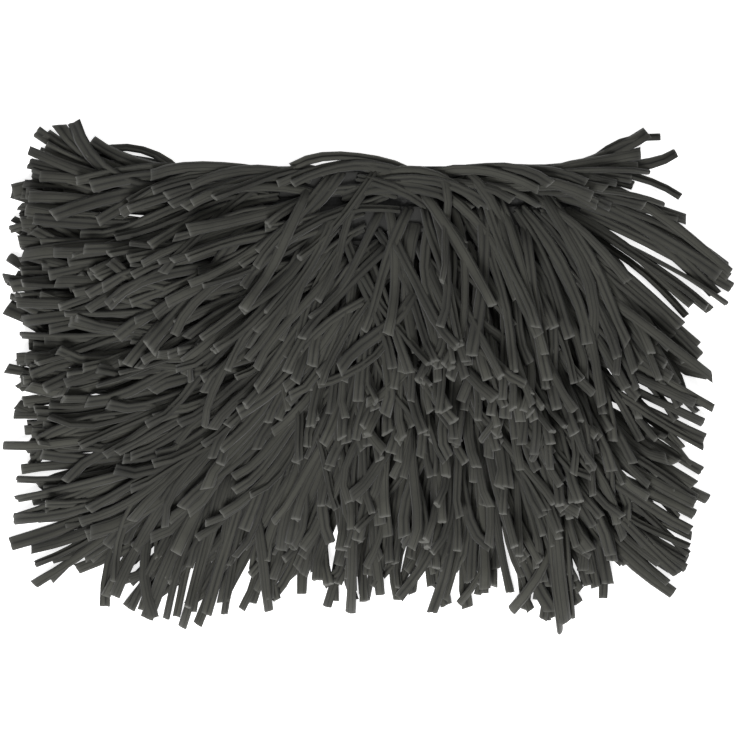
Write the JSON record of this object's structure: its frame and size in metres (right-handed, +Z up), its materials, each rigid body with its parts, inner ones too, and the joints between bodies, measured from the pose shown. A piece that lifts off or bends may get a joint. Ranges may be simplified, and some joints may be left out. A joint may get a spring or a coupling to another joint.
{
  "type": "slow feeder mat",
  "caption": "Flat feeding mat for a pet: soft jersey strips on a non-slip ground sheet, combed out over three edges so that food can be hidden between them.",
  "frame": {"origin": "centre of the mat's plan with its strips, on the surface that it lies on", "axes": "+X along the mat's long side, +Y towards the back edge, which is up in the picture, +Z up"},
  "size_m": [0.459, 0.309, 0.0587],
  "materials": {
    "jersey": "matte charcoal jersey",
    "ground": "matte black non-slip sheet"
  },
  "bodies": {
    "root": {"ground_sheet": "ground", "strip_tape_1": "jersey", "strip_tape_2": "jersey", "strip_tape_3": "jersey", "strip_tape_4": "jersey", "strip_tape_5": "jersey", "strip_tape_6": "jersey", "strip_tape_7": "jersey", "strip_tape_8": "jersey", "strip_tape_9": "jersey"}
  },
  "joints": []
}
